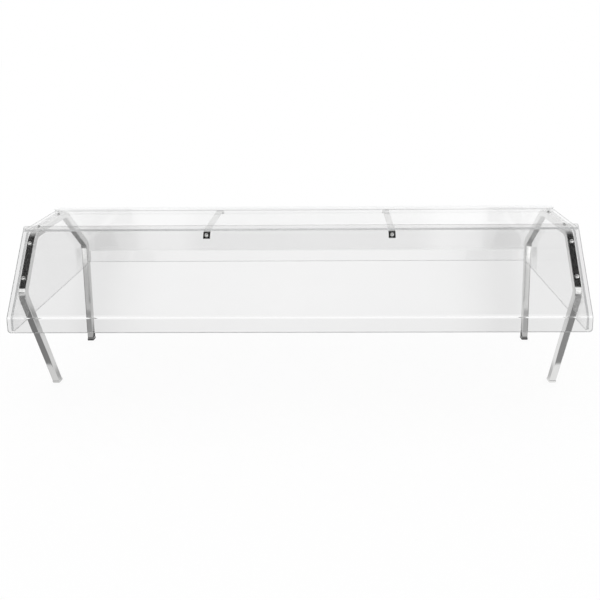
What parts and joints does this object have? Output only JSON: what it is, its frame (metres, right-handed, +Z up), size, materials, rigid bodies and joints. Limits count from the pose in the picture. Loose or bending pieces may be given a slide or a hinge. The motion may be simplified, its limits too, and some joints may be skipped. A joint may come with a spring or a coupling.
{
  "type": "sneeze guard",
  "caption": "Counter-top buffet guard: clear sloped front and rear panels, level top shelf and end panels on bent polished square-tube end frames with plug feet.",
  "frame": {"origin": "on the counter, under the middle of the guard's bounding box", "axes": "+X along the guard to the customer's right, +Y from the customer side to the server side, +Z up"},
  "size_m": [1.524, 0.5212, 0.505],
  "materials": {
    "polished_steel": "mirror-polished stainless steel with faint lengthwise polishing lines",
    "screw_steel": "bright stainless fasteners",
    "plated_steel": "satin zinc-plated threaded inserts",
    "clear_sheet": "clear polished acrylic sheet, 6 mm, with flame-polished edges"
  },
  "bodies": {
    "root": {"left_end_frame": "polished_steel", "right_end_frame": "polished_steel", "left_front_foot": "polished_steel", "left_rear_foot": "polished_steel", "right_front_foot": "polished_steel", "right_rear_foot": "polished_steel", "front_panel": "clear_sheet", "rear_panel": "clear_sheet", "top_panel": "clear_sheet", "left_end_panel": "clear_sheet", "right_end_panel": "clear_sheet", "left_bracket": "polished_steel", "right_bracket": "polished_steel", "left_top_front_screw": "screw_steel", "left_top_rear_screw": "screw_steel", "left_front_upper_screw": "screw_steel", "left_front_lower_screw": "screw_steel", "left_rear_upper_screw": "screw_steel", "left_rear_lower_screw": "screw_steel", "left_end_front_screw": "screw_steel", "left_end_rear_screw": "screw_steel", "left_bracket_front_screw": "screw_steel", "left_bracket_rear_screw": "screw_steel", "right_top_front_screw": "screw_steel", "right_top_rear_screw": "screw_steel", "right_front_upper_screw": "screw_steel", "right_front_lower_screw": "screw_steel", "right_rear_upper_screw": "screw_steel", "right_rear_lower_screw": "screw_steel", "right_end_front_screw": "screw_steel", "right_end_rear_screw": "screw_steel", "right_bracket_front_screw": "screw_steel", "right_bracket_rear_screw": "screw_steel", "left_bracket_front_nut": "screw_steel", "left_bracket_rear_nut": "screw_steel", "right_bracket_front_nut": "screw_steel", "right_bracket_rear_nut": "screw_steel", "left_top_front_insert": "plated_steel", "left_top_rear_insert": "plated_steel", "left_front_upper_insert": "plated_steel", "left_front_lower_insert": "plated_steel", "left_rear_upper_insert": "plated_steel", "left_rear_lower_insert": "plated_steel", "left_end_front_insert": "plated_steel", "left_end_rear_insert": "plated_steel", "right_top_front_insert": "plated_steel", "right_top_rear_insert": "plated_steel", "right_front_upper_insert": "plated_steel", "right_front_lower_insert": "plated_steel", "right_rear_upper_insert": "plated_steel", "right_rear_lower_insert": "plated_steel", "right_end_front_insert": "plated_steel", "right_end_rear_insert": "plated_steel"}
  },
  "joints": []
}
